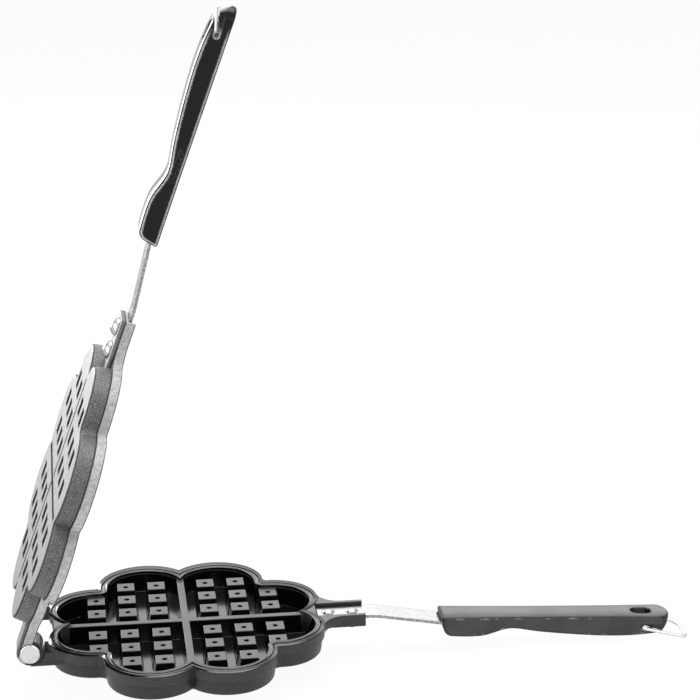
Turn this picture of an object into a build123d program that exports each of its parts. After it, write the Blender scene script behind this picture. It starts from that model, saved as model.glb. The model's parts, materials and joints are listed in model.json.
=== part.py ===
"""Stovetop waffle iron: two alike cast plates on a pin hinge, each with a riveted steel
strip and a moulded grip, and a wire hanging ring in the lower grip.

Frame: millimetres, +Z up.  The origin is the middle of the lower plate on its outer face,
+X points to the handles, the hinge axis is parallel to Y.  The lid stands open.
Each half is first drawn in a casting frame: parting plane at z = 0, metal below it,
handle towards +X.
"""
from build123d import *
import os
from math import cos, radians, sin, tan

# ---- plate casting ---------------------------------------------------------------
half_thickness = 16.6        # outer face to parting plane
rim_relief = 0.1             # rim faces stay this far off the parting plane
side_lobe_centre = (58.0, 22.0)      # two lobes at each end of the X axis
side_lobe_radius = 29.0
end_lobe_centre = (23.0, 54.3)       # two lobes at each end of the Y axis
end_lobe_radius = 31.2
outer_cleft_radius = 3.0     # rounding between neighbouring lobes
flange_depth = 6.1           # band round the rim that stands proud of the wall
flange_step = 1.2
wall_draft = 6.0             # degrees
outer_edge_radius = 2.2
axis_flat_reach = 84.0       # the notch on the hinge side is filled this far out
axis_flat_half_width = 10.0

# ---- cavity, studs and ribs --------------------------------------------------------
side_well_centre = (57.0, 18.4)
side_well_radius = 24.9
end_well_centre = (23.3, 51.4)
end_well_radius = 25.5
well_cleft_radius = 6.0
floor_thickness = 2.4
well_draft = 4.0
stud_pitch = 20.0
first_stud = 16.2            # middle line to the first row of studs
studs_per_side = 3
stud_top = (11.1, 11.7)
stud_drop = 2.0              # stud and rib tops below the parting plane
stud_draft = 8.5
dimple_radius = 1.75
dimple_tip_radius = 1.1
dimple_depth = 1.5
rib_width = 4.4
rib_draft = 5.0
lip_width = 2.6              # rim between the well and the bead groove
groove_width = 1.3
groove_depth = 1.2
groove_end_half_width = 17.0     # no groove beside the bracket and the hinge

# ---- outer face --------------------------------------------------------------------
core_mouth = (11.6, 11.0)    # hollow back of each stud
core_depth = 9.0
core_draft = 7.0
cross_groove_width = 4.0
cross_groove_depth = 1.4
cross_groove_reach = (69.5, 66.0)

# ---- hinge -------------------------------------------------------------------------
hinge_offset = 11.8          # from the side lobes' edge out to the hinge axis
barrel_radius = 8.3
hinge_inner_y = 25.0
hinge_outer_y = 41.5
hinge_end_gap = 0.3          # between a pin head and the hinge's end face
lug_gap = 0.6                # barrel to the hollow end of the lug beside it
lug_depth = 9.0
arm_depth = 8.3
arm_root_y = 14.0            # the arm widens to here at the plate
pin_radius = 3.2
pin_clearance = 0.05
pin_head_radius = 6.3
pin_head_height = 2.0
pin_head_edge = 0.9          # rounding of the head's rim
pin_peen_radius = 4.8
pin_peen_height = 1.8

# ---- handle bracket, strip and rivets ------------------------------------------------
bracket_length = 28.0        # beyond the side lobes' edge
bracket_width = 23.6
bracket_depth = 9.0
bracket_flare_radius = 15.0
channel_width = 18.4
channel_root = 3.2           # the channel starts this far inside the lobes' edge
bracket_edge_radius = 2.3
strip_width = 16.0
strip_thickness = 2.1
strip_drop = 2.3             # top of the strip below the parting plane
strip_root_gap = 1.0
strip_bend_radius = 18.0
strip_first_bend = 35.0      # from the side lobes' edge
strip_second_bend = 79.5
rivet_places = (5.0, 20.3)   # from the side lobes' edge
rivet_shank_radius = 2.5
rivet_clearance = 0.05
inner_head_radius = 4.1
inner_head_height = 2.1
outer_head_radius = 6.0
outer_head_height = 4.4

# ---- grip --------------------------------------------------------------------------
grip_start = 77.5            # from the side lobes' edge to the heel
grip_length = 152.6
grip_cover = 3.4             # strip's top face below the grip's top face at the heel
grip_heel_width = 20.6
grip_waist_width = 18.8
grip_tip_width = 21.0
grip_waist_place = 58.0
heel_foot = (2.0, 8.4)       # (place along the grip, depth below its top face) here and below
heel_corner = (7.0, 13.3)
heel_pad = (19.0, 13.8)
hollow_edge = (30.0, 12.9)
finger_hollow = (45.0, 8.5)  # deepest part of the hollow for the forefinger
hollow_exit = (58.0, 9.7)
belly_start = (80.0, 12.2)
belly = (40.6, 13.9)         # (distance back from the nose, depth) here and below
chin = (16.6, 12.7)
jaw = (6.4, 11.0)            # where the prow starts to rise
prow_middle = (2.8, 6.9)
tip_depth = 1.3              # where the prow's arc ends, just past the nose
nose_length = 7.6            # rounded end, seen from above
grip_edge_radius = 1.3
tang_length = 60.0
tang_clearance = 0.05
hang_hole_setback = 18.4     # middle of the hole, back from the nose
hang_hole_size = (14.0, 9.0)
slot_setback = 18.6          # inner end of the slot, back from the nose
slot_depth = 7.4             # there, below the grip's top face
slot_angle = 17.0            # degrees below the grip's own line
slot_height = 2.6
slot_recess = 1.0            # the sides are sunk this deep above the slot
handle_splay = {"lower": 10.0, "upper": 5.6}     # strip, away from the parting plane
grip_slope = {"lower": 3.1, "upper": 0.0}        # grip, away from the parting plane

# ---- hanging ring ------------------------------------------------------------------
ring_wire_radius = 1.05
ring_side_gap = 0.5          # wire to the grip's side
ring_reach = 30.0            # pivot to the outer bar
ring_near_corner_radius = 3.5    # at the outer bar, on the -Y side
ring_far_corner_radius = 9.0
ring_bar_corner_radius = 2.0     # beside the bar in the slot
ring_droop = 15.0            # degrees below the parting plane, as it lies

# ---- how the lid stands ------------------------------------------------------------
lid_opening = 70.0           # degrees

# ---- how far cuts and joined pieces run past each other -----------------------------------
overshoot = 1.0
root_sink = 0.5              # studs and ribs reach this far into the floor

# ---- places worked out from the sizes above -------------------------------------------
plate_edge = side_lobe_centre[0] + side_lobe_radius
hinge_x = -(plate_edge + hinge_offset)
wall_top = -rim_relief
well_floor = -(half_thickness - floor_thickness)
outer_face = -half_thickness
strip_start_x = plate_edge - channel_root + strip_root_gap
slot_start = (grip_length - slot_setback, slot_depth)


def lobes(side_centre, side_radius, end_centre, end_radius):
    """Eight overlapping discs and the middle that they surround."""
    discs = []
    for sx in (-1, 1):
        for sy in (-1, 1):
            discs.append(Pos(sx * side_centre[0], sy * side_centre[1]) * Circle(side_radius))
            discs.append(Pos(sx * end_centre[0], sy * end_centre[1]) * Circle(end_radius))
    middle = Rectangle(2 * side_centre[0], 2 * side_centre[1])
    middle += Rectangle(2 * end_centre[0], 2 * end_centre[1])
    middle += Polygon(
        (side_centre[0], side_centre[1]), (end_centre[0], end_centre[1]),
        (-end_centre[0], end_centre[1]), (-side_centre[0], side_centre[1]),
        (-side_centre[0], -side_centre[1]), (-end_centre[0], -end_centre[1]),
        (end_centre[0], -end_centre[1]), (side_centre[0], -side_centre[1]),
        align=None,
    )
    outline = middle
    for disc in discs:
        outline += disc
    return outline


def diagonal_clefts(outline):
    """The four corners of an outline where a side lobe meets an end lobe."""
    off_axis = side_lobe_centre[1] / 2
    return [v for v in outline.vertices() if abs(v.X) > off_axis and abs(v.Y) > off_axis]


def rim_outline(inset=0.0):
    """The plate's outer outline, moved inwards by inset."""
    outline = lobes(side_lobe_centre, side_lobe_radius - inset,
                    end_lobe_centre, end_lobe_radius - inset)
    return fillet(diagonal_clefts(outline), outer_cleft_radius + inset)


def well_outline(outset=0.0):
    """The mould cavity's outline, moved outwards by outset."""
    outline = lobes(side_well_centre, side_well_radius + outset,
                    end_well_centre, end_well_radius + outset)
    return fillet(diagonal_clefts(outline), well_cleft_radius - outset)


def at_height(sketch, z):
    return Pos(0, 0, z) * sketch


def block(sketch, top, bottom, taper=0.0):
    """A sketch extruded down from top to bottom; a positive taper narrows it downwards."""
    return extrude(at_height(sketch, top), amount=top - bottom, dir=(0, 0, -1), taper=taper)


def plate_body():
    """Flange band, drafted wall and rounded outer edge."""
    flange = block(rim_outline(), wall_top, -flange_depth)
    wall = block(rim_outline(flange_step), -flange_depth, outer_face, wall_draft)
    low_edges = wall.edges().group_by(Axis.Z)[0]
    wall = fillet(low_edges, outer_edge_radius)
    flat = Pos(-axis_flat_reach / 2, 0) * Rectangle(axis_flat_reach, 2 * axis_flat_half_width)
    return flange + wall + block(flat, wall_top, -flange_depth)


def bracket():
    """Block for the handle channel; only the flange band flares out beside it."""
    root = plate_edge - side_lobe_radius / 2
    reach = plate_edge + bracket_length
    beside = bracket_width / 2 + overshoot
    bar = Pos((root + reach) / 2, 0) * Rectangle(reach - root, bracket_width)
    plan = rim_outline() + bar
    corners = plan.vertices().filter_by_position(Axis.X, root, reach - overshoot)
    corners = corners.filter_by_position(Axis.Y, -beside, beside)
    flange = block(fillet(corners, bracket_flare_radius), wall_top, -flange_depth)
    box = block(bar, wall_top, -bracket_depth)
    low_sides = box.edges().group_by(Axis.Z)[0].filter_by(Axis.X)
    return flange + fillet(low_sides, bracket_edge_radius)


def channel():
    """Slot for the strip, open at the parting face and at the bracket's end."""
    start = plate_edge - channel_root
    length = bracket_length + channel_root + overshoot
    plan = Pos(start + length / 2, 0) * Rectangle(length, channel_width)
    return block(plan, overshoot, -(strip_drop + strip_thickness))


def stud_places():
    """Middles of the studs: square rows in each quarter, less the outermost corner."""
    rows = [first_stud + n * stud_pitch for n in range(studs_per_side)]
    places = []
    for x in rows:
        for y in rows:
            if x == rows[-1] and y == rows[-1]:
                continue
            places += [(sx * x, sy * y) for sx in (-1, 1) for sy in (-1, 1)]
    return places


def pegs(size, wide_end, narrow_end, draft):
    """One tapered square peg at every stud place; size is measured at the narrow end."""
    height = abs(wide_end - narrow_end)
    spread = 2 * height * tan(radians(draft))
    up = (0, 0, 1) if narrow_end > wide_end else (0, 0, -1)
    base = Rectangle(size[0] + spread, size[1] + spread)
    peg = extrude(at_height(base, wide_end), amount=height, dir=up, taper=draft)
    return [Pos(x, y, 0) * peg for x, y in stud_places()]


def mould_face():
    """Studs and cross ribs that stand in the well."""
    foot = well_floor - root_sink
    solids = pegs(stud_top, foot, -stud_drop, stud_draft)
    height = -stud_drop - foot
    foot_width = rib_width + 2 * height * tan(radians(rib_draft))
    reach_x = side_well_centre[0] + side_well_radius + rib_width
    reach_y = end_well_centre[1] + end_well_radius + rib_width
    for length, width in ((2 * reach_x, foot_width), (foot_width, 2 * reach_y)):
        rib = at_height(Rectangle(length, width), foot)
        solids.append(extrude(rib, amount=height, taper=rib_draft))
    return solids


def dimples():
    """Shallow cone in the middle of each stud's top."""
    cone = Cone(dimple_tip_radius, dimple_radius, dimple_depth)
    return [Pos(x, y, -stud_drop - dimple_depth / 2) * cone for x, y in stud_places()]


def bead_groove():
    """Narrow groove along the rim, which stops beside the bracket and the hinge."""
    ring = well_outline(lip_width + groove_width) - well_outline(lip_width)
    stop = Rectangle(2 * (plate_edge + groove_width), 2 * groove_end_half_width)
    middle = Rectangle(2 * side_well_centre[0], 2 * end_well_centre[1])
    ring -= stop - middle
    return block(ring, overshoot, wall_top - groove_depth)


def cross_grooves():
    """Two shallow grooves that cross on the outer face."""
    plan = Rectangle(2 * cross_groove_reach[0], cross_groove_width)
    plan += Rectangle(cross_groove_width, 2 * cross_groove_reach[1])
    return block(plan, outer_face + cross_groove_depth, outer_face - overshoot)


def hinge_rod(radius, y_start, y_end):
    """A round bar along the hinge axis."""
    rod = Cylinder(radius, y_end - y_start, align=(Align.CENTER, Align.CENTER, Align.MIN))
    return Pos(hinge_x, y_start, 0) * Rot(-90, 0, 0) * rod


def hinge_arm():
    """Web from the plate to the barrel, on the +Y side."""
    root = -(plate_edge - side_lobe_radius / 2)
    plan = Polygon(
        (hinge_x, hinge_inner_y), (hinge_x, hinge_outer_y), (root, hinge_outer_y),
        (root, arm_root_y), (-axis_flat_reach, arm_root_y), (-plate_edge, hinge_inner_y),
        align=None,
    )
    return block(plan, wall_top, -arm_depth)


def hinge_lug():
    """Block on the -Y side whose hollow end follows the other half's barrel."""
    root = -(plate_edge - side_lobe_radius / 2)
    plan = Pos((hinge_x + root) / 2, -(hinge_inner_y + hinge_outer_y) / 2) * Rectangle(
        root - hinge_x, hinge_outer_y - hinge_inner_y)
    return block(plan, wall_top, -lug_depth)


def casting():
    """One plate in the casting frame; both halves are this same casting."""
    body = plate_body() + bracket() + hinge_arm() + hinge_lug()
    hollow = hinge_rod(barrel_radius + lug_gap, -hinge_outer_y - overshoot, -hinge_inner_y + lug_gap)
    body -= hollow
    body += hinge_rod(barrel_radius, hinge_inner_y, hinge_outer_y)
    well = block(well_outline(), overshoot, well_floor, well_draft)
    inside = block(well_outline(), wall_top, well_floor - root_sink)
    body -= well
    for solid in mould_face():
        body += solid & inside
    body -= dimples()
    body -= cores()
    body -= bead_groove()
    body -= cross_grooves()
    body -= channel()
    body -= [rivet_bore(place) for place in rivet_places]
    body -= hinge_rod(pin_radius + pin_clearance, hinge_inner_y - overshoot, hinge_outer_y + overshoot)
    return body


def cores():
    """Tapered square hollows behind the studs, open at the outer face."""
    shrink = 2 * core_depth * tan(radians(core_draft))
    narrow = (core_mouth[0] - shrink, core_mouth[1] - shrink)
    return pegs(narrow, outer_face, outer_face + core_depth, core_draft)


def rivet_bore(place):
    height = bracket_depth + 2 * overshoot
    return Pos(plate_edge + place, 0, -bracket_depth / 2) * Cylinder(
        rivet_shank_radius + rivet_clearance, height)


def dome(radius, height):
    """A round rivet head: a slice of a ball, flat side down at z = 0."""
    ball = (radius ** 2 + height ** 2) / (2 * height)
    cut = Pos(0, 0, height / 2) * Cylinder(radius + overshoot, height)
    return (Pos(0, 0, height - ball) * Sphere(ball)) & cut


def rivet(place):
    """Shank through strip and bracket, a low head inside and a high one outside."""
    top = -strip_drop
    bottom = -bracket_depth
    solid = Pos(0, 0, (top + bottom) / 2) * Cylinder(rivet_shank_radius, top - bottom)
    solid += Pos(0, 0, top) * dome(inner_head_radius, inner_head_height)
    solid += Pos(0, 0, bottom) * Rot(180, 0, 0) * dome(outer_head_radius, outer_head_height)
    return Pos(plate_edge + place, 0) * solid


def strip_path(half, depth_below_top):
    """Side view of the strip: three straight runs joined by two bends."""
    splay = radians(handle_splay[half])
    slope = radians(grip_slope[half])
    x1 = plate_edge + strip_first_bend
    x2 = plate_edge + strip_second_bend
    z1 = -strip_drop - depth_below_top
    z2 = z1 - (x2 - x1) * tan(splay)
    end = (x2 + tang_length * cos(slope), z2 - tang_length * sin(slope))
    points = [(strip_start_x, 0, z1), (x1, 0, z1), (x2, 0, z2), (end[0], 0, end[1])]
    return FilletPolyline(*points, radius=strip_bend_radius)


def strip_bar(half, clearance=0.0):
    """The strip as a flat bar swept along its side view."""
    path = strip_path(half, strip_thickness / 2)
    section = Plane(path @ 0, x_dir=(0, 1, 0), z_dir=path % 0) * Rectangle(
        strip_width + 2 * clearance, strip_thickness + 2 * clearance)
    return sweep(section, path)


def strip(half):
    bar = strip_bar(half)
    return bar - [rivet_bore(place) for place in rivet_places]


def grip_frame(half):
    """Where the grip starts: heel end, on the middle of its top face."""
    splay = radians(handle_splay[half])
    x1 = plate_edge + strip_first_bend
    x0 = plate_edge + grip_start
    strip_top = -strip_drop - (x0 - x1) * tan(splay)
    return Pos(x0, 0, strip_top + grip_cover) * Rot(0, grip_slope[half], 0)


def grip_side_view():
    """Side outline: leaning heel end, heel pad, finger hollow, belly and rounded prow."""
    heel = Line((0, 0), (heel_foot[0], -heel_foot[1]))
    corner = TangentArc(heel @ 1, (heel_corner[0], -heel_corner[1]), tangent=heel % 1)
    places = [heel_corner, heel_pad, hollow_edge, finger_hollow, hollow_exit, belly_start]
    places += [(grip_length - back, depth) for back, depth in (belly, chin, jaw)]
    under = Spline(*[(x, -depth) for x, depth in places])
    past_nose = grip_length + overshoot
    bulge = (grip_length - prow_middle[0], -prow_middle[1])
    prow = ThreePointArc(under @ 1, bulge, (past_nose, -tip_depth))
    front = Line(prow @ 1, (past_nose, 0))
    top = Line(front @ 1, heel @ 0)
    return make_face([heel, corner, under, prow, front, top])


def grip_plan_view():
    """Outline from above: waisted sides and a blunt elliptical nose."""
    nose_start = grip_length - nose_length
    side = Spline((0, grip_heel_width / 2), (grip_waist_place, grip_waist_width / 2),
                  (nose_start, grip_tip_width / 2))
    nose = EllipticalCenterArc((nose_start, 0), nose_length, grip_tip_width / 2,
                               start_angle=0, arc_size=90)
    heel = Line((0, 0), (0, grip_heel_width / 2))
    middle = Line((grip_length, 0), (0, 0))
    half_plan = make_face([heel, side, nose, middle])
    return half_plan + mirror(half_plan, Plane.XZ)


def grip_body():
    """Moulded outer form with rounded edges, before the cuts."""
    side = extrude(Plane.XZ * grip_side_view(), amount=grip_tip_width, both=True)
    plan = extrude(grip_plan_view(), amount=2 * belly[1], both=True)
    solid = side & plan
    rims = solid.edges().filter_by(lambda e: abs(e.center().Y) > grip_edge_radius)
    seams = rims.filter_by(Axis.Z).filter_by_position(Axis.X, heel_corner[0], grip_length)
    heel_rim = solid.edges().group_by(Axis.Z)[-1].sort_by(Axis.X)[0]
    return fillet(rims - seams + [heel_rim], grip_edge_radius)


def slot_cut():
    """Slot for the ring's bar, open at the nose, with sunken sides above it."""
    length = grip_length - slot_start[0] + overshoot
    run = 2 * length
    plan = Pos(run / 2, 0) * Rectangle(run, slot_height)
    plan += Circle(slot_height / 2)
    slot = Rot(0, slot_angle, 0) * extrude(Plane.XZ * plan, amount=grip_tip_width, both=True)
    fall = length * tan(radians(slot_angle))
    wedge = Polygon((0, 0), (0, slot_height / 2), (length, slot_height / 2), (length, -fall),
                    align=None)
    sunk_width = grip_tip_width - 2 * slot_recess
    sunk = extrude(Plane.XZ * wedge, amount=grip_tip_width, both=True)
    sunk -= extrude(Plane.XZ * wedge, amount=sunk_width / 2, both=True)
    return Pos(slot_start[0], 0, -slot_start[1]) * (slot + sunk)


def grip(half):
    """Grip with the strip's socket, the hanging hole and the ring slot."""
    hole = SlotOverall(*hang_hole_size)
    solid = grip_body() - slot_cut()
    solid -= Pos(grip_length - hang_hole_setback, 0) * extrude(hole, amount=2 * belly[1], both=True)
    placed = grip_frame(half) * solid
    return placed - strip_bar(half, tang_clearance)


def ring_pivot():
    """Middle of the ring's straight bar, at the inner end of the lower grip's slot."""
    return (grip_frame("lower") * Pos(slot_start[0], 0, -slot_start[1])).position


def hang_ring():
    """Closed wire loop whose straight bar lies across the grip in the slot."""
    half_width = grip_tip_width / 2 + ring_side_gap + ring_wire_radius
    corners = [(0, -half_width), (ring_reach, -half_width), (ring_reach, half_width),
               (0, half_width)]
    bends = (ring_bar_corner_radius, ring_near_corner_radius, ring_far_corner_radius,
             ring_bar_corner_radius)
    loop = FilletPolyline(*corners, radius=bends, close=True)
    section = Plane(loop @ 0, z_dir=loop % 0) * Circle(ring_wire_radius)
    wire = sweep(section, loop)
    pivot = ring_pivot()
    return Pos(*pivot) * Rot(0, ring_droop, 0) * wire


def hinge_pin():
    """Round pin through both barrels, headed on the -Y side and peened over at +Y."""
    seat = hinge_outer_y + hinge_end_gap
    pin = hinge_rod(pin_radius, -seat, seat)
    head = Cylinder(pin_head_radius, pin_head_height, align=(Align.CENTER,) * 2 + (Align.MIN,))
    head = fillet(head.edges().group_by(Axis.Z)[-1], pin_head_edge)
    pin += Pos(hinge_x, -seat, 0) * Rot(90, 0, 0) * head
    pin += Pos(hinge_x, seat, 0) * Rot(-90, 0, 0) * dome(pin_peen_radius, pin_peen_height)
    return pin


def as_lower(solid):
    return Pos(0, 0, half_thickness) * solid


def as_upper(solid):
    """Turn a casting-frame solid over on to the lower half, then swing it open."""
    closed = Pos(0, 0, half_thickness) * Rot(180, 0, 0) * solid
    to_axis = Pos(-hinge_x, 0, -half_thickness)
    back = Pos(hinge_x, 0, half_thickness)
    return back * Rot(0, -lid_opening, 0) * to_axis * closed


def build():
    plate = casting()
    nodes = {
        "lower_plate": as_lower(plate),
        "upper_plate": as_upper(plate),
        "hinge_pin": as_lower(hinge_pin()),
        "hang_ring": as_lower(hang_ring()),
    }
    for half, place in (("lower", as_lower), ("upper", as_upper)):
        nodes[half + "_strip"] = place(strip(half))
        nodes[half + "_grip"] = place(grip(half))
        for number, distance in enumerate(rivet_places, 1):
            nodes[f"{half}_rivet_{number}"] = place(rivet(distance))
    return nodes


def main():
    os.makedirs("parts", exist_ok=True)
    for name, solid in build().items():
        export_step(solid, f"parts/{name}.step")
        print(name, round(solid.volume, 1))


main()
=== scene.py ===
"""Stovetop waffle iron: two coated cast plates open on their pin hinge, with steel strips,
moulded grips and a wire hanging ring, standing on a pale sweep under soft light.
Metres, +Z up, the frame of the CAD model."""
import json
from math import cos, radians, sin

import bpy
from mathutils import Matrix, Vector


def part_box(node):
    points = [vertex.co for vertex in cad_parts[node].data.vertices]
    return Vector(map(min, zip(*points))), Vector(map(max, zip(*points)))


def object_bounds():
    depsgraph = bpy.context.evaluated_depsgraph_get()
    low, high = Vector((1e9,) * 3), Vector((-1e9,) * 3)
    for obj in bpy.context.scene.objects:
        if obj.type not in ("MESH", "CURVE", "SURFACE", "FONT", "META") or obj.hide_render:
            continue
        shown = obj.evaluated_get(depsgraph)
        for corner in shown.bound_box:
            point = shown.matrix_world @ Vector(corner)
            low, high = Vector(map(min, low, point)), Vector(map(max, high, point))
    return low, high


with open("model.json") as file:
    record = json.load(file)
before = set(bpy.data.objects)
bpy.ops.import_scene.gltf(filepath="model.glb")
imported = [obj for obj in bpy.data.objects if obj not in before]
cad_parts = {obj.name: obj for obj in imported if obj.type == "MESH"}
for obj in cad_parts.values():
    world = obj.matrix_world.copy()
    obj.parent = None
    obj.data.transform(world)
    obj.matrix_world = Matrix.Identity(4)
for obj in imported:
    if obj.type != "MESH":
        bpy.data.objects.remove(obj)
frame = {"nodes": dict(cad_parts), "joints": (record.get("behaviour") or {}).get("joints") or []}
cad_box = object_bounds()
nodes = frame["nodes"]

# ---- camera ----------------------------------------------------------------------------
# A long lens on a stand in front of the iron, a little above its open lid. It looks down along
# the hinge, so that the well, both outsides and both grips show.
camera_place = Vector((-0.0674, -1.4116, 0.6627))
camera_azimuth = radians(-7.04)
camera_elevation = radians(18.32)
camera_roll = radians(-0.25)

camera_data = bpy.data.cameras.new("camera")
camera_data.lens = 123.7
camera_data.sensor_width = 36.0
camera_data.clip_start = 0.05
camera = bpy.data.objects.new("camera", camera_data)
bpy.context.scene.collection.objects.link(camera)
bpy.context.scene.camera = camera
bpy.context.scene.view_settings.view_transform = "Standard"
back = Vector((
    sin(camera_azimuth) * cos(camera_elevation),
    -cos(camera_azimuth) * cos(camera_elevation),
    sin(camera_elevation),
))
level = Vector((0.0, 0.0, 1.0)).cross(back).normalized()
upright = back.cross(level)
across = level * cos(camera_roll) + upright * sin(camera_roll)
above = upright * cos(camera_roll) - level * sin(camera_roll)
turned = Matrix((across, above, back)).transposed().to_4x4()
camera.matrix_world = Matrix.Translation(camera_place) @ turned

# ---- lights ----------------------------------------------------------------------------
# Large soft boxes on stands round the table, a narrow one at the left for the lines of gloss
# along the grips, and the room's own weak white light.


def soft_box(name, place, target, size, watts):
    """A rectangular area lamp at place, turned to face target, and not seen by the camera."""
    lamp = bpy.data.lights.new(name, "AREA")
    lamp.shape = "RECTANGLE"
    lamp.size, lamp.size_y = size
    lamp.energy = watts
    box = bpy.data.objects.new(name, lamp)
    box.location = place
    box.rotation_euler = (Vector(target) - Vector(place)).to_track_quat("-Z", "Y").to_euler()
    box.visible_camera = False
    bpy.context.scene.collection.objects.link(box)


soft_box("overhead_box", (0.1, 0.2, 1.6), (0.05, 0.0, 0.1), (1.4, 1.2), 30.0)
soft_box("back_box", (0.25, 1.5, 0.75), (0.0, 0.0, 0.05), (1.8, 0.7), 6.5)
soft_box("left_back_box", (-0.95, 1.3, 0.25), (-0.15, 0.0, 0.15), (1.1, 0.8), 25.0)
soft_box("left_box", (-1.3, -0.4, 0.9), (-0.05, 0.0, 0.15), (0.8, 0.8), 6.0)
soft_box("left_strip", (-1.1, -0.6, 0.35), (0.05, 0.0, 0.25), (0.1, 0.8), 4.0)
soft_box("front_box", (0.7, -1.5, 0.5), (0.05, 0.0, 0.1), (0.7, 0.5), 4.0)

plain_white = (1.0, 1.0, 1.0, 1.0)
room_light = 0.3


def feed(tree, term, socket):
    """Links term to the socket if it is an output, or else sets it as the socket's value."""
    if isinstance(term, bpy.types.NodeSocket):
        tree.links.new(term, socket)
    else:
        socket.default_value = term


def maths(tree, operation, first, second=None, clamp=False):
    """The output of a Math node; each of its terms is a socket or a number."""
    node = tree.nodes.new("ShaderNodeMath")
    node.operation = operation
    node.use_clamp = clamp
    feed(tree, first, node.inputs[0])
    if second is not None:
        feed(tree, second, node.inputs[1])
    return node.outputs[0]


def chain(tree, operation, first, *others):
    """One Math operation carried through all the terms from left to right."""
    for other in others:
        first = maths(tree, operation, first, other)
    return first


def highest(tree, *terms):
    """The largest of the terms."""
    return chain(tree, "MAXIMUM", *terms)


def seen_directly(tree):
    """Highest of camera, glossy and transmission ray: 1 where a ray should meet plain white."""
    rays = tree.nodes.new("ShaderNodeLightPath").outputs
    kinds = ("Is Camera Ray", "Is Glossy Ray", "Is Transmission Ray")
    return highest(tree, *[rays[kind] for kind in kinds])


def plain_shader(tree, kind, **values):
    """The output of a shader node of one kind, with its named inputs set."""
    node = tree.nodes.new("ShaderNode" + kind)
    for label, value in values.items():
        node.inputs[label].default_value = value
    return node.outputs[0]


def shader_between(tree, share, first, second):
    """The first shader where share is 0, the second where it is 1, and a mix between."""
    node = tree.nodes.new("ShaderNodeMixShader")
    for socket, term in zip(node.inputs, (share, first, second)):
        tree.links.new(term, socket)
    return node.outputs[0]


world = bpy.data.worlds.new("room")
world.use_nodes = True
bpy.context.scene.world = world
room = world.node_tree
room.nodes.clear()
dim_room = plain_shader(room, "Background", Color=plain_white, Strength=room_light)
white_room = plain_shader(room, "Background", Color=plain_white, Strength=1.0)
room_out = room.nodes.new("ShaderNodeOutputWorld")
room.links.new(
    shader_between(room, seen_directly(room), dim_room, white_room), room_out.inputs["Surface"])

# ---- the sweep it stands on ------------------------------------------------------------
# A matt white board, flat and level. It is as low as the lowest point of the iron, which is its
# ring, and looks nearly pure white where it is seen directly or mirrored.
board_half = 3.0
board_low = cad_box[0][2]
board_white_share = 0.95
board_colour = (0.9, 0.9, 0.9, 1.0)
board_mesh = bpy.data.meshes.new("white_sweep")
board_mesh.from_pydata(
    [(x * board_half, y * board_half, board_low) for x, y in ((-1, -1), (1, -1), (1, 1), (-1, 1))],
    [], [(0, 1, 2, 3)])
board_object = bpy.data.objects.new("white_sweep", board_mesh)
bpy.context.scene.collection.objects.link(board_object)


def material(name):
    """A new node material with only its output, and its node tree."""
    made = bpy.data.materials.new(name)
    made.use_nodes = True
    made.node_tree.nodes.clear()
    made.node_tree.nodes.new("ShaderNodeOutputMaterial")
    return made, made.node_tree


def product(tree, *terms):
    """The terms multiplied together."""
    return chain(tree, "MULTIPLY", *terms)


board, tree = material("white_board")
board_paint = plain_shader(tree, "BsdfDiffuse", Color=board_colour)
board_white = plain_shader(tree, "Emission", Color=plain_white, Strength=1.0)
board_share = product(tree, seen_directly(tree), board_white_share)
tree.links.new(
    shader_between(tree, board_share, board_paint, board_white),
    tree.nodes["Material Output"].inputs["Surface"])
board_mesh.materials.append(board)

# ---- cast plates -----------------------------------------------------------------------
# Cast aluminium. The mould side has a glossy black non-stick coating; the outside is satin,
# shows the casting's fine pits, and is rubbed paler along its flange. Both plates carry the
# same coating, but the upper plate's outside is painted greyer, with a much paler flange band,
# as painted light on the open lid, and both outsides have thin dark lines of painted shade
# along the edges of the outer face and of the flange, strongest on the upper plate.


def dress(node, made):
    """Gives one material to a CAD node."""
    mesh = nodes[node].data
    mesh.materials.clear()
    mesh.materials.append(made)


def total(tree, *terms):
    """The terms added together."""
    return chain(tree, "ADD", *terms)


def rest_of(tree, share):
    """1 less the share."""
    return maths(tree, "SUBTRACT", 1.0, share)


def spread(tree, value, span, onto=(0.0, 1.0)):
    """Where value lies in the span, as a share t from 0 to 1, smoothed to 3tt - 2ttt and laid
    over the span onto. Ends are sockets or numbers."""
    node = tree.nodes.new("ShaderNodeMapRange")
    node.interpolation_type = "SMOOTHSTEP"
    for socket, term in zip(node.inputs, (value, *span, *onto)):
        feed(tree, term, socket)
    return node.outputs[0]


def noise(tree, place, scale, detail=3.0, roughness=0.55):
    """Cloudy value from 0 to 1 at a place; scale is in cells per metre, and each of the detail
    layers is twice as fine as the one before and roughness times as strong."""
    node = tree.nodes.new("ShaderNodeTexNoise")
    node.inputs["Detail"].default_value = detail
    node.inputs["Roughness"].default_value = roughness
    feed(tree, place, node.inputs["Vector"])
    feed(tree, scale, node.inputs["Scale"])
    return node.outputs["Fac"]


def mix_colour(tree, share, first, second):
    """Colour between first and second by share; each is a colour socket or a plain colour."""
    node = tree.nodes.new("ShaderNodeMix")
    node.data_type = "RGBA"
    feed(tree, share, node.inputs["Factor"])
    for label, term in (("A", first), ("B", second)):
        socket = [i for i in node.inputs if i.name == label and i.type == "RGBA"][0]
        feed(tree, term if isinstance(term, bpy.types.NodeSocket) else (*term, 1.0), socket)
    return [o for o in node.outputs if o.type == "RGBA"][0]


def parts_of(tree, vector):
    """The X, Y and Z of a vector."""
    split = tree.nodes.new("ShaderNodeSeparateXYZ")
    tree.links.new(vector, split.inputs[0])
    return split.outputs


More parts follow.
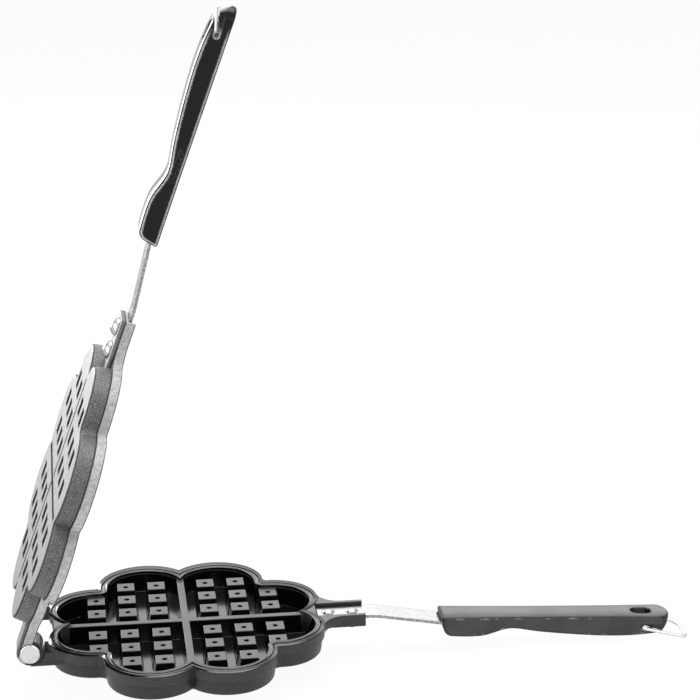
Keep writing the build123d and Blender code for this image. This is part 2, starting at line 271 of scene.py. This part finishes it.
def bump(tree, height, normal, distance=1.0, strength=1.0):
    """The normal tilted by the slope of height times distance, which is in metres."""
    node = tree.nodes.new("ShaderNodeBump")
    feed(tree, height, node.inputs["Height"])
    feed(tree, distance, node.inputs["Distance"])
    feed(tree, strength, node.inputs["Strength"])
    tree.links.new(normal, node.inputs["Normal"])
    return node.outputs[0]


def facing_of(tree, kind="Normal"):
    """The way the surface faces: smoothed, or with kind "True Normal" that of the flat face."""
    return tree.nodes.new("ShaderNodeNewGeometry").outputs[kind]


def object_place(tree):
    """Object coordinates, which are metres in the frame of the iron at rest."""
    return tree.nodes.new("ShaderNodeTexCoord").outputs["Object"]


def new_group(name, inputs, outputs):
    """An empty shader node group, what it is given and what it gives back. inputs and outputs
    are the kinds of its sockets by name."""
    made = bpy.data.node_groups.new(name, "ShaderNodeTree")
    for way, sockets in (("INPUT", inputs), ("OUTPUT", outputs)):
        for label, kind in sockets.items():
            made.interface.new_socket(label, in_out=way, socket_type="NodeSocket" + kind)
    given = made.nodes.new("NodeGroupInput").outputs
    result = made.nodes.new("NodeGroupOutput").inputs
    return made, given, result


def place_group(tree, made, **values):
    """Puts a node group in a tree, fed by name, and gives its outputs."""
    node = tree.nodes.new("ShaderNodeGroup")
    node.node_tree = made
    for label, value in values.items():
        feed(tree, value, node.inputs[label.replace("_", " ")])
    return node.outputs


def surface(tree, colour, roughness, normal, **constants):
    """Plugs a Principled shader into the output; constants are set on its own sockets."""
    shader = tree.nodes.new("ShaderNodeBsdfPrincipled")
    tree.links.new(colour, shader.inputs["Base Color"])
    tree.links.new(roughness, shader.inputs["Roughness"])
    tree.links.new(normal, shader.inputs["Normal"])
    for label, value in constants.items():
        shader.inputs[label.replace("_", " ")].default_value = value
    tree.links.new(shader.outputs[0], tree.nodes["Material Output"].inputs["Surface"])


# Sharp edges: the surface normal averaged over a small radius, compared with the flat face's.
# Where they part, the surface turns sharply; noise breaks the line up. The mask carries edge
# wear, and also the painted highlight along the grips' rims and the painted dark reflection
# round the rivet heads.
rounding_samples = 6
ragged_span = (0.35, 0.65)
sharp_edges, given, result = new_group(
    "sharp_edges",
    {"Place": "Vector", "Radius": "Float", "Width": "Float", "Break Up": "Float",
     "Grain Scale": "Float"},
    {"Mask": "Float", "Normal": "Vector"})
rounding = sharp_edges.nodes.new("ShaderNodeBevel")
rounding.samples = rounding_samples
sharp_edges.links.new(given["Radius"], rounding.inputs["Radius"])
agree = sharp_edges.nodes.new("ShaderNodeVectorMath")
agree.operation = "DOT_PRODUCT"
sharp_edges.links.new(rounding.outputs[0], agree.inputs[0])
sharp_edges.links.new(facing_of(sharp_edges, "True Normal"), agree.inputs[1])
edge = spread(sharp_edges, rest_of(sharp_edges, agree.outputs["Value"]), (0.0, given["Width"]))
ragged = noise(sharp_edges, given["Place"], given["Grain Scale"], detail=2.0)
ragged = spread(sharp_edges, ragged, ragged_span)
kept = rest_of(sharp_edges, product(sharp_edges, ragged, given["Break Up"]))
sharp_edges.links.new(maths(sharp_edges, "MULTIPLY", edge, kept, clamp=True), result["Mask"])
sharp_edges.links.new(rounding.outputs[0], result["Normal"])

# Grain: fine and coarse noise added as a height in metres, as a bump on the given normal.
fine_share, coarse_share, coarse_size = 0.6, 0.4, 0.22
grain, given, result = new_group(
    "grain",
    {"Place": "Vector", "Normal": "Vector", "Scale": "Float", "Height": "Float"},
    {"Value": "Float", "Normal": "Vector"})
coarse_scale = product(grain, given["Scale"], coarse_size)
both = total(
    grain,
    product(grain, noise(grain, given["Place"], given["Scale"]), fine_share),
    product(grain, noise(grain, given["Place"], coarse_scale, detail=2.0), coarse_share))
grain.links.new(both, result["Value"])
grain.links.new(bump(grain, both, given["Normal"], given["Height"]), result["Normal"])

# Mould side, in the casting's own frame: the parting plane is z = 0 and the metal is below it.
# The well and its lip lie inside a pair of discs on each of the four sides, and inside the
# diamond through the side discs' middles, short of the clefts where a pair meets. Mask is 1
# there, down to just short of the outer face, and on the parting face. Relief is a height in
# metres: the flange's rolled shoulder, the lip's crown and the stud dimples. Tops is 1 on stud
# and rib tops, Band on the flange, Lines along the edges of the outer face and of the flange,
# where thin dark lines of painted shade are drawn.
half_thickness = 0.0166
side_disc, side_disc_radius = (0.058, 0.022), 0.0252
end_disc, end_disc_radius = (0.023, 0.0543), 0.0274
side_cleft, end_cleft = 0.0695, 0.0685
parting_skin = 0.0006
outer_skin = 0.0012
flange_depth = 0.0061
tops_low, tops_high, tops_inset = -0.0024, -0.0016, 0.002
shoulder_width, shoulder_fall = 0.0046, 0.0022
lip_middle, lip_half_width, lip_rise = 0.0025, 0.0015, 0.0005
first_stud, stud_pitch = 0.0162, 0.020
dimple_radius, dimple_depth, dimple_low = 0.00175, 0.0012, -0.0038
face_line, step_line = -0.0159, -0.0063
line_core, line_half_width = 0.00018, 0.0006
mould_side, given, result = new_group(
    "mould_side", {"Place": "Vector"},
    {"Mask": "Float", "Relief": "Float", "Tops": "Float", "Band": "Float", "Lines": "Float"})
at = parts_of(mould_side, given["Place"])
out_x = maths(mould_side, "ABSOLUTE", at["X"])
out_y = maths(mould_side, "ABSOLUTE", at["Y"])
out_xy = total(mould_side, out_x, out_y)


def between(low, high):
    """1 where z lies between low and high."""
    over = maths(mould_side, "GREATER_THAN", at["Z"], low)
    return product(mould_side, over, maths(mould_side, "LESS_THAN", at["Z"], high))


def far_off(away_x, away_y):
    """Square root of the sum of the two squares."""
    squares = [maths(mould_side, "POWER", away, 2.0) for away in (away_x, away_y)]
    return maths(mould_side, "SQRT", total(mould_side, *squares))


def past_disc(middle, radius):
    """Distance outside a disc and its mirror images, negative inside."""
    away_x = maths(mould_side, "SUBTRACT", out_x, middle[0])
    away_y = maths(mould_side, "SUBTRACT", out_y, middle[1])
    return maths(mould_side, "SUBTRACT", far_off(away_x, away_y), radius)


def crown(distance, half_width, rise):
    """Height rise where distance is 0, falling as a parabola to 0 at half_width, 0 beyond."""
    share = maths(mould_side, "DIVIDE", distance, half_width)
    square = maths(mould_side, "POWER", share, 2.0)
    return product(mould_side, maths(mould_side, "SUBTRACT", 1.0, square, clamp=True), rise)


def to_row(out):
    """Signed distance from the nearest row of studs, counted along one axis."""
    row = maths(mould_side, "SUBTRACT", out, first_stud - stud_pitch / 2)
    row = maths(mould_side, "MODULO", row, stud_pitch)
    return maths(mould_side, "SUBTRACT", row, stud_pitch / 2)


past_rim = maths(
    mould_side, "MINIMUM",
    past_disc(side_disc, side_disc_radius), past_disc(end_disc, end_disc_radius))
diamond_reach = sum(side_disc)
diamond = product(
    mould_side,
    maths(mould_side, "LESS_THAN", out_xy, diamond_reach),
    maths(mould_side, "LESS_THAN", out_x, side_cleft),
    maths(mould_side, "LESS_THAN", out_y, end_cleft))
in_plan = highest(mould_side, maths(mould_side, "LESS_THAN", past_rim, 0.0), diamond)
on_top = maths(mould_side, "GREATER_THAN", at["Z"], -parting_skin)
off_face = maths(mould_side, "GREATER_THAN", at["Z"], outer_skin - half_thickness)
mould_side.links.new(
    highest(mould_side, product(mould_side, in_plan, off_face), on_top), result["Mask"])

off_wall = highest(
    mould_side,
    maths(mould_side, "LESS_THAN", past_rim, -tops_inset),
    maths(mould_side, "LESS_THAN", out_xy, diamond_reach - 2 * tops_inset))
mould_side.links.new(product(mould_side, between(tops_low, tops_high), off_wall), result["Tops"])

shoulder = product(
    mould_side, crown(past_rim, shoulder_width, shoulder_fall), rest_of(mould_side, in_plan))
past_lip = total(mould_side, past_rim, lip_middle)
lip = product(mould_side, crown(past_lip, lip_half_width, lip_rise), in_plan)
rim = product(mould_side, total(mould_side, shoulder, lip), on_top)
dimple = crown(far_off(to_row(out_x), to_row(out_y)), dimple_radius, -dimple_depth)
dimple = product(mould_side, dimple, between(dimple_low, tops_high))
mould_side.links.new(total(mould_side, rim, dimple), result["Relief"])

lines = []
for line in (face_line, step_line):
    off_line = maths(mould_side, "ABSOLUTE", maths(mould_side, "SUBTRACT", at["Z"], line))
    lines.append(spread(mould_side, off_line, (line_core, line_half_width), (1.0, 0.0)))
mould_side.links.new(highest(mould_side, *lines), result["Lines"])
in_band = maths(mould_side, "GREATER_THAN", at["Z"], -flange_depth)
mould_side.links.new(in_band, result["Band"])

hinge = [j for j in frame["joints"] if j["name"] == "lid_hinge"][0]
hinge_place = Vector(hinge["pos_m"])
lid_opening = -radians(hinge["range_deg"][0])


def casting_place(tree, plate):
    """Object coordinates moved into the casting's own frame, the same for both plates. The
    lower plate's only drop by its thickness; the upper plate's turn back about the hinge by
    the lid's opening, and over by half a turn."""
    shift = tree.nodes.new("ShaderNodeVectorMath")
    shift.operation = "SUBTRACT"
    tree.links.new(object_place(tree), shift.inputs[0])
    if plate == "lower_plate":
        shift.inputs[1].default_value = (0.0, 0.0, half_thickness)
        return shift.outputs[0]
    shift.inputs[1].default_value = hinge_place
    turn = tree.nodes.new("ShaderNodeMapping")
    turn.inputs["Rotation"].default_value = (radians(180.0), -lid_opening, 0.0)
    turn.inputs["Location"].default_value = (hinge_place.x, 0.0, 0.0)
    tree.links.new(shift.outputs[0], turn.inputs["Vector"])
    return turn.outputs[0]


inner_black = (0.004, 0.004, 0.0042)
pale_wear_and_light = (0.52, 0.52, 0.52)
coating_index = 1.5
whole = (0.0, 1.0)
pit_scale, pit_height, inner_pit_height = 1500.0, 0.00045, 0.00002
patch_scale, patch_span, patch_rough = 38.0, (0.3, 0.7), 0.05
fleck_scale, fleck_span = 1250.0, (0.42, 0.68)
band_span, band_least, band_most = (0.35, 0.65), 0.6, 1.3
inner_edge_rub, tops_rub = 0.16, 0.08
outer_rough, inner_rough, tops_rough, painted_shade_rough = 0.40, 0.13, 0.20, 0.3
# The two plates carry one coating: the upper plate's paler colour and paler flange band are
# painted light on the open lid, against the lower plate's darker outside. The last entry sets how
# dark the thin lines of painted shade are.
lit_and_shaded_outsides = {
    "lower_plate": {"colour": (0.008, 0.008, 0.0082), "flecks": 0.035, "band_wear_and_light": 0.03,
                    "edge_rub": 0.30, "painted_shade": 0.2},
    "upper_plate": {"colour": (0.060, 0.060, 0.060), "flecks": 0.24, "band_wear_and_light": 0.78,
                    "edge_rub": 0.10, "painted_shade": 0.95},
}
for plate, outside in lit_and_shaded_outsides.items():
    coating, tree = material(plate + "_coating")
    place = casting_place(tree, plate)
    sides = place_group(tree, mould_side, Place=place)
    mould, tops = sides["Mask"], sides["Tops"]
    outer = rest_of(tree, mould)
    edge_out = place_group(
        tree, sharp_edges, Place=place, Radius=0.0005, Width=0.16, Break_Up=0.75,
        Grain_Scale=420.0)
    rolled = bump(tree, sides["Relief"], edge_out["Normal"])
    pits = place_group(
        tree, grain, Place=place, Normal=rolled, Scale=pit_scale,
        Height=spread(tree, mould, whole, (pit_height, inner_pit_height)))
    patches = spread(tree, noise(tree, place, patch_scale, detail=4.0), patch_span)
    flecks = spread(tree, noise(tree, place, fleck_scale, detail=2.0), fleck_span)
    flecks = product(tree, flecks, outside["flecks"], outer)
    # The flange band is painted paler: slight wear on the lower plate, painted light on the upper.
    band_wear_and_light = spread(
        tree, pits["Value"], band_span,
        (band_least * outside["band_wear_and_light"], band_most * outside["band_wear_and_light"]))
    band_wear_and_light = product(tree, band_wear_and_light, sides["Band"], outer)
    edge_rub = spread(tree, mould, whole, (outside["edge_rub"], inner_edge_rub))
    edge_rub = product(tree, edge_out["Mask"], edge_rub)
    # Thin dark lines of painted shade at the edge of the outer face and at the flange's step.
    painted_shade = product(tree, sides["Lines"], outer, outside["painted_shade"])
    pale = highest(tree, edge_rub, band_wear_and_light, flecks, product(tree, tops, tops_rub))
    pale = product(tree, pale, rest_of(tree, painted_shade))
    black = mix_colour(tree, highest(tree, mould, painted_shade), outside["colour"], inner_black)
    rough = total(
        tree,
        spread(tree, mould, whole, (outer_rough, inner_rough)),
        product(tree, tops, tops_rough),
        product(tree, patches, patch_rough),
        product(tree, painted_shade, painted_shade_rough))
    surface(
        tree, mix_colour(tree, pale, black, pale_wear_and_light), rough, pits["Normal"],
        IOR=coating_index)
    dress(plate, coating)

# ---- steel strips ----------------------------------------------------------------------
# Flat bars of bright rolled steel, bent by hand tools; rolling lines run along them, their
# flats are slightly wavy and the sheared edges are dull and mottled.

# Mottle: cloudy noise, cut off smoothly between Low and High.
mottle, given, result = new_group(
    "mottle", {"Place": "Vector", "Scale": "Float", "Low": "Float", "High": "Float"},
    {"Value": "Float"})
cloud = noise(mottle, given["Place"], given["Scale"], detail=4.0, roughness=0.6)
mottle.links.new(spread(mottle, cloud, (given["Low"], given["High"])), result["Value"])


def clouds(tree, place, scale, low, high):
    """The value of the mottle group, placed in a tree."""
    return place_group(tree, mottle, Place=place, Scale=scale, Low=low, High=high)["Value"]


roll_press = (0.04, 1.0, 1.0)


def stretched_place(tree, along):
    """Object coordinates turned in the XZ plane by the angle along, then pressed together in X
    by roll_press, so that noise there becomes lines."""
    turn = tree.nodes.new("ShaderNodeMapping")
    turn.inputs["Rotation"].default_value = (0.0, along, 0.0)
    tree.links.new(object_place(tree), turn.inputs["Vector"])
    press = tree.nodes.new("ShaderNodeVectorMath")
    press.operation = "MULTIPLY"
    press.inputs[1].default_value = roll_press
    tree.links.new(turn.outputs[0], press.inputs[0])
    return press.outputs[0]


bright_steel = (0.52, 0.52, 0.52)
dull_steel = (0.26, 0.26, 0.26)
dark_rim = (0.35, 0.35, 0.35, 1.0)
roll_scale, roll_span, roll_rough = 900.0, (0.3, 0.7), (0.16, 0.30)
edge_span, torn_share = (0.5, 0.8), (0.25, 1.0)
stain_dull, edge_dull = 0.16, 0.7
for node, along in (("lower_strip", -radians(5.0)), ("upper_strip", lid_opening)):
    steel, tree = material(node + "_steel")
    place = object_place(tree)
    edge_out = place_group(
        tree, sharp_edges, Place=place, Radius=0.0005, Width=0.12, Break_Up=0.6,
        Grain_Scale=500.0)
    waves = place_group(
        tree, grain, Place=place, Normal=edge_out["Normal"], Scale=200.0, Height=0.000025)
    stains = clouds(tree, place, scale=260.0, low=0.42, high=0.62)
    sideways = maths(tree, "ABSOLUTE", parts_of(tree, facing_of(tree))["Y"])
    torn = clouds(tree, place, scale=620.0, low=0.40, high=0.55)
    torn = product(tree, spread(tree, sideways, edge_span), spread(tree, torn, whole, torn_share))
    darker_share = highest(
        tree, product(tree, stains, stain_dull), product(tree, edge_out["Mask"], edge_dull), torn)
    roll_lines = noise(tree, stretched_place(tree, along), roll_scale)
    surface(
        tree, mix_colour(tree, darker_share, bright_steel, dull_steel),
        spread(tree, roll_lines, roll_span, roll_rough), waves["Normal"],
        Metallic=1.0, Specular_Tint=dark_rim)
    dress(node, steel)

# ---- rivets and hinge pin --------------------------------------------------------------
# Round steel stock, headed by a press, so the heads are smooth with faint dents; a painted dark
# reflection rings each head's rim. The pin's end is brushed brighter than the rivets.
dark_reflection_grey = (0.10, 0.10, 0.10)
head_rough = (0.18, 0.30)
head_stain, head_dark_reflection = 0.12, 0.9
heads = {
    "rivet_steel": ((0.50, 0.50, 0.50), (
        "lower_rivet_1", "lower_rivet_2", "upper_rivet_1", "upper_rivet_2")),
    "pin_steel": ((0.72, 0.72, 0.72), ("hinge_pin",)),
}
for name, (colour, headed) in heads.items():
    steel, tree = material(name)
    place = object_place(tree)
    edge_out = place_group(
        tree, sharp_edges, Place=place, Radius=0.0007, Width=0.10, Break_Up=0.3,
        Grain_Scale=700.0)
    dents = place_group(
        tree, grain, Place=place, Normal=edge_out["Normal"], Scale=300.0, Height=0.000018)
    stains = clouds(tree, place, scale=330.0, low=0.45, high=0.65)
    # Faint stains, and the rims painted dark grey as a painted dark reflection round each dome.
    darker_share = highest(tree, product(tree, stains, head_stain), product(tree, edge_out["Mask"], head_dark_reflection))
    surface(
        tree, mix_colour(tree, darker_share, colour, dark_reflection_grey),
        spread(tree, stains, whole, head_rough), dents["Normal"],
        Metallic=1.0, Specular_Tint=dark_rim)
    for node in headed:
        dress(node, steel)

# ---- hanging ring ----------------------------------------------------------------------
# Round steel wire, drawn, bent cold into a loop and chromed. It hangs loose in a hole through
# the lower grip's end, and is slightly uneven, with small scuffs.
bright_chrome, scuffed_chrome = (0.76, 0.76, 0.76), (0.45, 0.45, 0.45)
scuff_share, scuff_rough = 0.2, (0.22, 0.32)
chromed_wire, tree = material("chromed_wire")
place = object_place(tree)
scuffs = clouds(tree, place, scale=500.0, low=0.5, high=0.68)
drawn = place_group(
    tree, grain, Place=place, Normal=facing_of(tree), Scale=500.0, Height=0.000006)
surface(
    tree,
    mix_colour(tree, product(tree, scuffs, scuff_share), bright_chrome, scuffed_chrome),
    spread(tree, scuffs, whole, scuff_rough), drawn["Normal"],
    Metallic=1.0, Specular_Tint=dark_rim)
dress("hang_ring", chromed_wire)

# ---- grips -----------------------------------------------------------------------------
# Black phenolic, pressed in a mould: glossy, with a crowned and slightly wavy skin, and a
# painted highlight along the rounded rims of its flanks. The lower grip has a film of pale dust,
# worn off its rims and painted thinner towards the near side as painted shade across the top,
# and a rough heel end where the flash was broken off.
phenolic_black = (0.0045, 0.0045, 0.0048)
film_pale = (0.34, 0.34, 0.34)
highlight_white = (0.90, 0.90, 0.90)
crown_rise, crown_half_width = 0.0010, 0.0105
heel_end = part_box("lower_grip")[0][0]
heel_length = 0.0035
heel_span = (heel_end + 0.6 * heel_length, heel_end + 1.3 * heel_length)
ragged_scale, chip_scale, chip_depth = 700.0, 900.0, 0.003
nose_clear = 0.010
facing_span, film_facing = (-0.6, 1.0), (0.58, 1.0)
painted_shade_across, blotch_share = (0.55, 1.1), (0.6, 1.0)
bare_from, bare_to = (0.25, 0.45), (0.90, 0.97)
highlight_flank_span, highlight_scale = (0.85, 0.95), 140.0
film_rough, broken_rough = 0.25, 0.3
skins = {
    "lower_grip": {"axis": "X", "dust_and_shade": 0.33, "break": 1.0, "painted_highlight": 0.35,
                   "highlight_span": (0.56, 0.64), "gloss": 0.27, "index": 1.45},
    "upper_grip": {"axis": "Z", "dust_and_shade": 0.0, "break": 0.0, "painted_highlight": 1.0,
                   "highlight_span": (0.05, 0.20), "gloss": 0.09, "index": 1.30},
}
for node, skin in skins.items():
    phenolic, tree = material(node + "_phenolic")
    place = object_place(tree)
    at = parts_of(tree, place)
    facing = parts_of(tree, facing_of(tree))
    sideways = maths(tree, "ABSOLUTE", facing["Y"])
    edge_out = place_group(
        tree, sharp_edges, Place=place, Radius=0.0021, Width=0.022, Break_Up=0.2,
        Grain_Scale=160.0)
    off_middle = maths(tree, "DIVIDE", at["Y"], crown_half_width)
    rise = rest_of(tree, maths(tree, "POWER", off_middle, 2.0))
    crowned = bump(tree, rise, edge_out["Normal"], crown_rise)
    waves = place_group(
        tree, grain, Place=place, Normal=crowned, Scale=120.0, Height=0.00004)
    ragged = product(tree, noise(tree, place, ragged_scale), heel_length)
    broken = spread(tree, total(tree, ragged, at["X"]), heel_span, (skin["break"], 0.0))
    chipped = bump(
        tree, noise(tree, place, chip_scale), waves["Normal"], chip_depth, broken)
    bare = product(
        tree,
        highest(tree, edge_out["Mask"], spread(tree, sideways, bare_from)),
        highest(tree, edge_out["Mask"], spread(tree, sideways, bare_to, (1.0, 0.0))))
    blotches = clouds(tree, place, scale=60.0, low=0.25, high=0.75)
    # Pale dust film, thicker on upward faces and in blotches, worn off the rims; its ramp across
    # the top, thinner on the near side, is painted shade that darkens the top towards the front.
    dust_and_shade = product(
        tree,
        spread(tree, facing["Z"], facing_span, film_facing),
        spread(tree, blotches, whole, blotch_share),
        skin["dust_and_shade"],
        spread(tree, at["Y"], (-crown_half_width, crown_half_width), painted_shade_across),
        rest_of(tree, bare),
        rest_of(tree, broken))
    nose_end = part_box(node)[1]["XYZ".index(skin["axis"])]
    nose_span = (nose_end - 2 * nose_clear, nose_end - nose_clear)
    # Painted highlight: pale lines along the rounded rims of the flanks, broken by noise and
    # fading before the nose; full on the upper grip, in short pieces on the lower.
    painted_highlight = product(
        tree,
        edge_out["Mask"],
        spread(tree, sideways, highlight_flank_span),
        spread(tree, at[skin["axis"]], nose_span, (1.0, 0.0)),
        spread(tree, noise(tree, place, highlight_scale), skin["highlight_span"]),
        skin["painted_highlight"])
    dusted_and_shaded = mix_colour(tree, dust_and_shade, phenolic_black, film_pale)
    rough = total(
        tree, skin["gloss"], product(tree, dust_and_shade, film_rough),
        product(tree, broken, broken_rough))
    surface(
        tree, mix_colour(tree, painted_highlight, dusted_and_shaded, highlight_white), rough, chipped, IOR=skin["index"])
    dress(node, phenolic)
